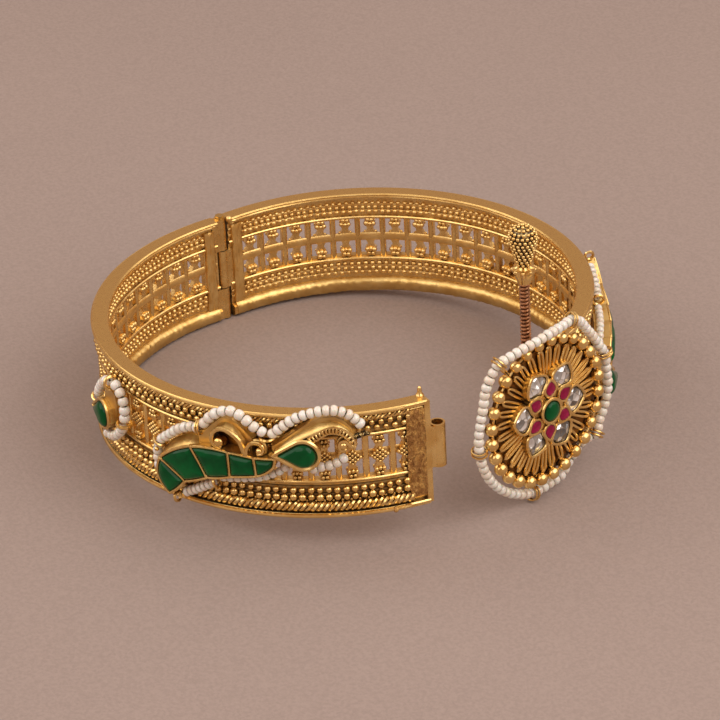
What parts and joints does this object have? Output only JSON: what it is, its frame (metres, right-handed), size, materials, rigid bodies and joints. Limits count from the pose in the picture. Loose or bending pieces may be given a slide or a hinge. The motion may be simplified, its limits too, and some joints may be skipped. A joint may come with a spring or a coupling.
{
  "type": "hinged kundan bangle with a screw clasp",
  "caption": "Hinged gold bangle in two pierced half arms, with green inlaid castings, seed pearl strings, a hexagonal flower rosette and a loose screw clasp.",
  "frame": {"origin": "centre of the front arm's circle, in the plane of the two arms' lower rims", "axes": "+Z along the hinge and the screw, from the lower to the upper rims; +X from the hinge towards the clasp"},
  "size_m": [0.069, 0.0762, 0.0418],
  "materials": {
    "gold": "satin antique gold, darker in the recesses",
    "green_stone": "polished green stone over foil",
    "ruby_stone": "polished red stone over foil",
    "polki_stone": "clear flat-cut stone over silver foil",
    "seed_pearl": "soft pearl lustre",
    "copper": "worn brown copper"
  },
  "bodies": {
    "front_arm": {"front_band": "gold", "hinge_pin": "gold", "front_casting": "gold", "front_inlay_1": "green_stone", "front_inlay_2": "green_stone", "front_inlay_3": "green_stone", "front_inlay_4": "green_stone", "front_inlay_5": "green_stone", "front_drop_stone": "green_stone", "front_pearls": "seed_pearl", "front_leaf_mount": "gold", "front_leaf_stone": "green_stone", "front_leaf_pearls": "seed_pearl"},
    "back_arm": {"back_band": "gold", "back_casting": "gold", "back_inlay_1": "green_stone", "back_inlay_2": "green_stone", "back_inlay_3": "green_stone", "back_inlay_4": "green_stone", "back_inlay_5": "green_stone", "back_drop_stone": "green_stone", "back_pearls": "seed_pearl", "back_leaf_mount": "gold", "back_leaf_stone": "green_stone", "back_leaf_pearls": "seed_pearl", "rosette_dish": "gold", "rosette_hooks": "gold", "gold_bead_ring": "gold", "rosette_pearls": "seed_pearl", "flower_setting": "gold", "centre_stone": "green_stone", "ruby_1": "ruby_stone", "ruby_2": "ruby_stone", "ruby_3": "ruby_stone", "ruby_4": "ruby_stone", "ruby_5": "ruby_stone", "ruby_6": "ruby_stone", "polki_1": "polki_stone", "polki_2": "polki_stone", "polki_3": "polki_stone", "polki_4": "polki_stone", "polki_5": "polki_stone", "polki_6": "polki_stone"},
    "screw": {"screw_head": "gold", "screw_shank": "copper"}
  },
  "joints": [
    {"name": "arm_hinge", "type": "hinge", "parent": "front_arm", "child": "back_arm", "pos_m": [-0.03185, 0, 0.008], "axis": [0, 0, 1], "range_deg": [-14, 45]},
    {"name": "clasp_screw", "type": "slide", "parent": "back_arm", "child": "screw", "axis": [0, 0, -1], "range_m": [0, 0.01]}
  ]
}
